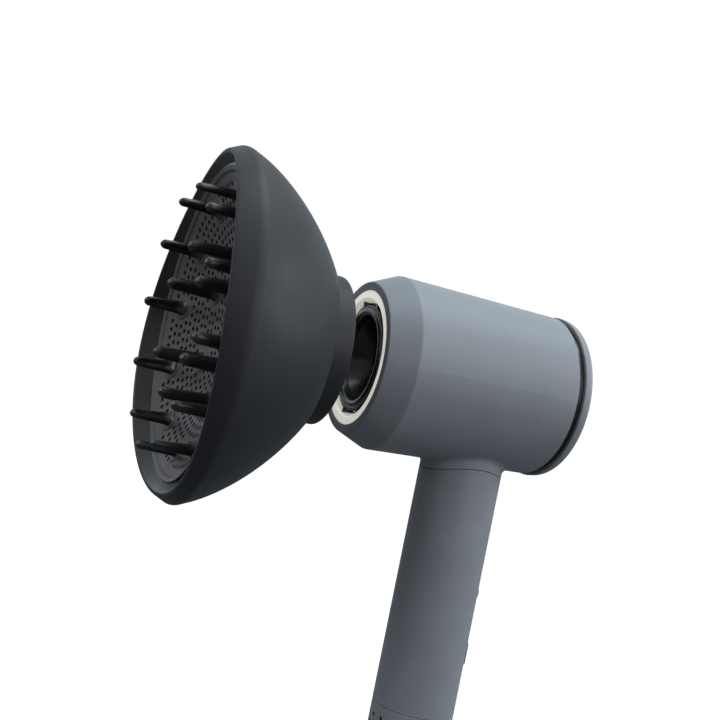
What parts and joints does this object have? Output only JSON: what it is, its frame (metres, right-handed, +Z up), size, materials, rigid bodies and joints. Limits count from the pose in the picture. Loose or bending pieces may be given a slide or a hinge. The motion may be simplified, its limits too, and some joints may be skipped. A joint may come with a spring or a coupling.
{
  "type": "hair dryer",
  "caption": "Hand-held hair dryer with a drum barrel, ring outlet and round handle, and a magnetic bowl diffuser with fingers drawn just off its seat.",
  "frame": {"origin": "middle of the hand grip, on the handle's axis", "axes": "+Z up the handle to the barrel, -Y the way the air leaves, +X to one side"},
  "size_m": [0.1582, 0.1963, 0.2748],
  "materials": {
    "body_grey": "soft-touch matte",
    "diffuser_navy": "soft-touch matte",
    "plate_grey": "fine matte",
    "prong_black": "satin",
    "ring_white": "satin",
    "core_black": "gloss",
    "inner_black": "matte",
    "magnet": "nickel plated",
    "mica": "matte",
    "resistance_wire": "drawn",
    "steel": "ground",
    "aluminium": "satin",
    "copper": "enamelled",
    "circuit_board": "solder mask",
    "rubber": "matte"
  },
  "bodies": {
    "housing": {"barrel_shell": "body_grey", "handle_sleeve": "body_grey", "rear_cap": "body_grey", "light_ring": "ring_white", "outlet_grille": "core_black", "core_tube": "core_black", "gap_ring": "core_black", "nose_magnets": "magnet", "nose_carrier": "inner_black", "heat_shield": "mica", "heater_former": "mica", "heater_wires": "resistance_wire", "thermostat": "inner_black", "thermal_fuse": "steel", "ioniser": "inner_black", "button_board": "circuit_board", "tact_switches": "inner_black", "neck_joiner": "inner_black", "fan_shroud": "aluminium", "stator_core": "copper", "shaft_bearings": "steel", "bearing_bracket": "aluminium", "motor_mounts": "rubber", "handle_frame": "inner_black", "control_board": "circuit_board", "board_parts": "aluminium", "slide_switch": "inner_black", "cool_switch": "inner_black", "inlet_core": "inner_black", "base_cap": "inner_black", "lead_gland": "rubber", "base_screws": "steel", "heat_spring": "steel", "speed_spring": "steel", "cool_spring": "steel"},
    "rotor": {"impeller": "aluminium", "motor_shaft": "steel", "rotor_magnet": "magnet"},
    "heat_button": {"heat_button": "core_black"},
    "speed_button": {"speed_button": "core_black"},
    "cool_button": {"cool_button": "core_black"},
    "power_slider": {"power_slider": "core_black"},
    "filter_cage": {"filter_cage": "body_grey"},
    "diffuser_seat": {"neck_collar": "diffuser_navy", "collar_magnets": "magnet", "collar_clip": "steel"},
    "diffuser": {"diffuser_bowl": "diffuser_navy", "diffuser_plate": "plate_grey", "outer_prongs": "prong_black", "inner_prongs": "prong_black"}
  },
  "joints": [
    {"name": "fan_spin", "type": "hinge", "parent": "housing", "child": "rotor", "pos_m": [0, 0, 0.05], "axis": [0, 0, 1], "continuous": true},
    {"name": "heat_press", "type": "slide", "parent": "housing", "child": "heat_button", "axis": [0, -1, 0], "range_m": [0, 0.001], "stiffness_N_per_m": 600, "deforming": ["heat_spring"]},
    {"name": "speed_press", "type": "slide", "parent": "housing", "child": "speed_button", "axis": [0, -1, 0], "range_m": [0, 0.001], "stiffness_N_per_m": 600, "deforming": ["speed_spring"]},
    {"name": "cool_press", "type": "slide", "parent": "housing", "child": "cool_button", "axis": [0, -1, 0], "range_m": [0, 0.001], "stiffness_N_per_m": 600, "deforming": ["cool_spring"]},
    {"name": "power_slide", "type": "slide", "parent": "housing", "child": "power_slider", "axis": [0, 0, 1], "range_m": [0, 0.012]},
    {"name": "cage_pull", "type": "slide", "parent": "housing", "child": "filter_cage", "axis": [0, 0, -1], "range_m": [0, 0.035]},
    {"name": "diffuser_pull", "type": "slide", "parent": "housing", "child": "diffuser_seat", "axis": [0, -1, 0], "range_m": [-0.0152, 0.06]},
    {"name": "diffuser_turn", "type": "hinge", "parent": "diffuser_seat", "child": "diffuser", "pos_m": [0, -0.1, 0.115], "axis": [0, -1, 0], "continuous": true}
  ]
}
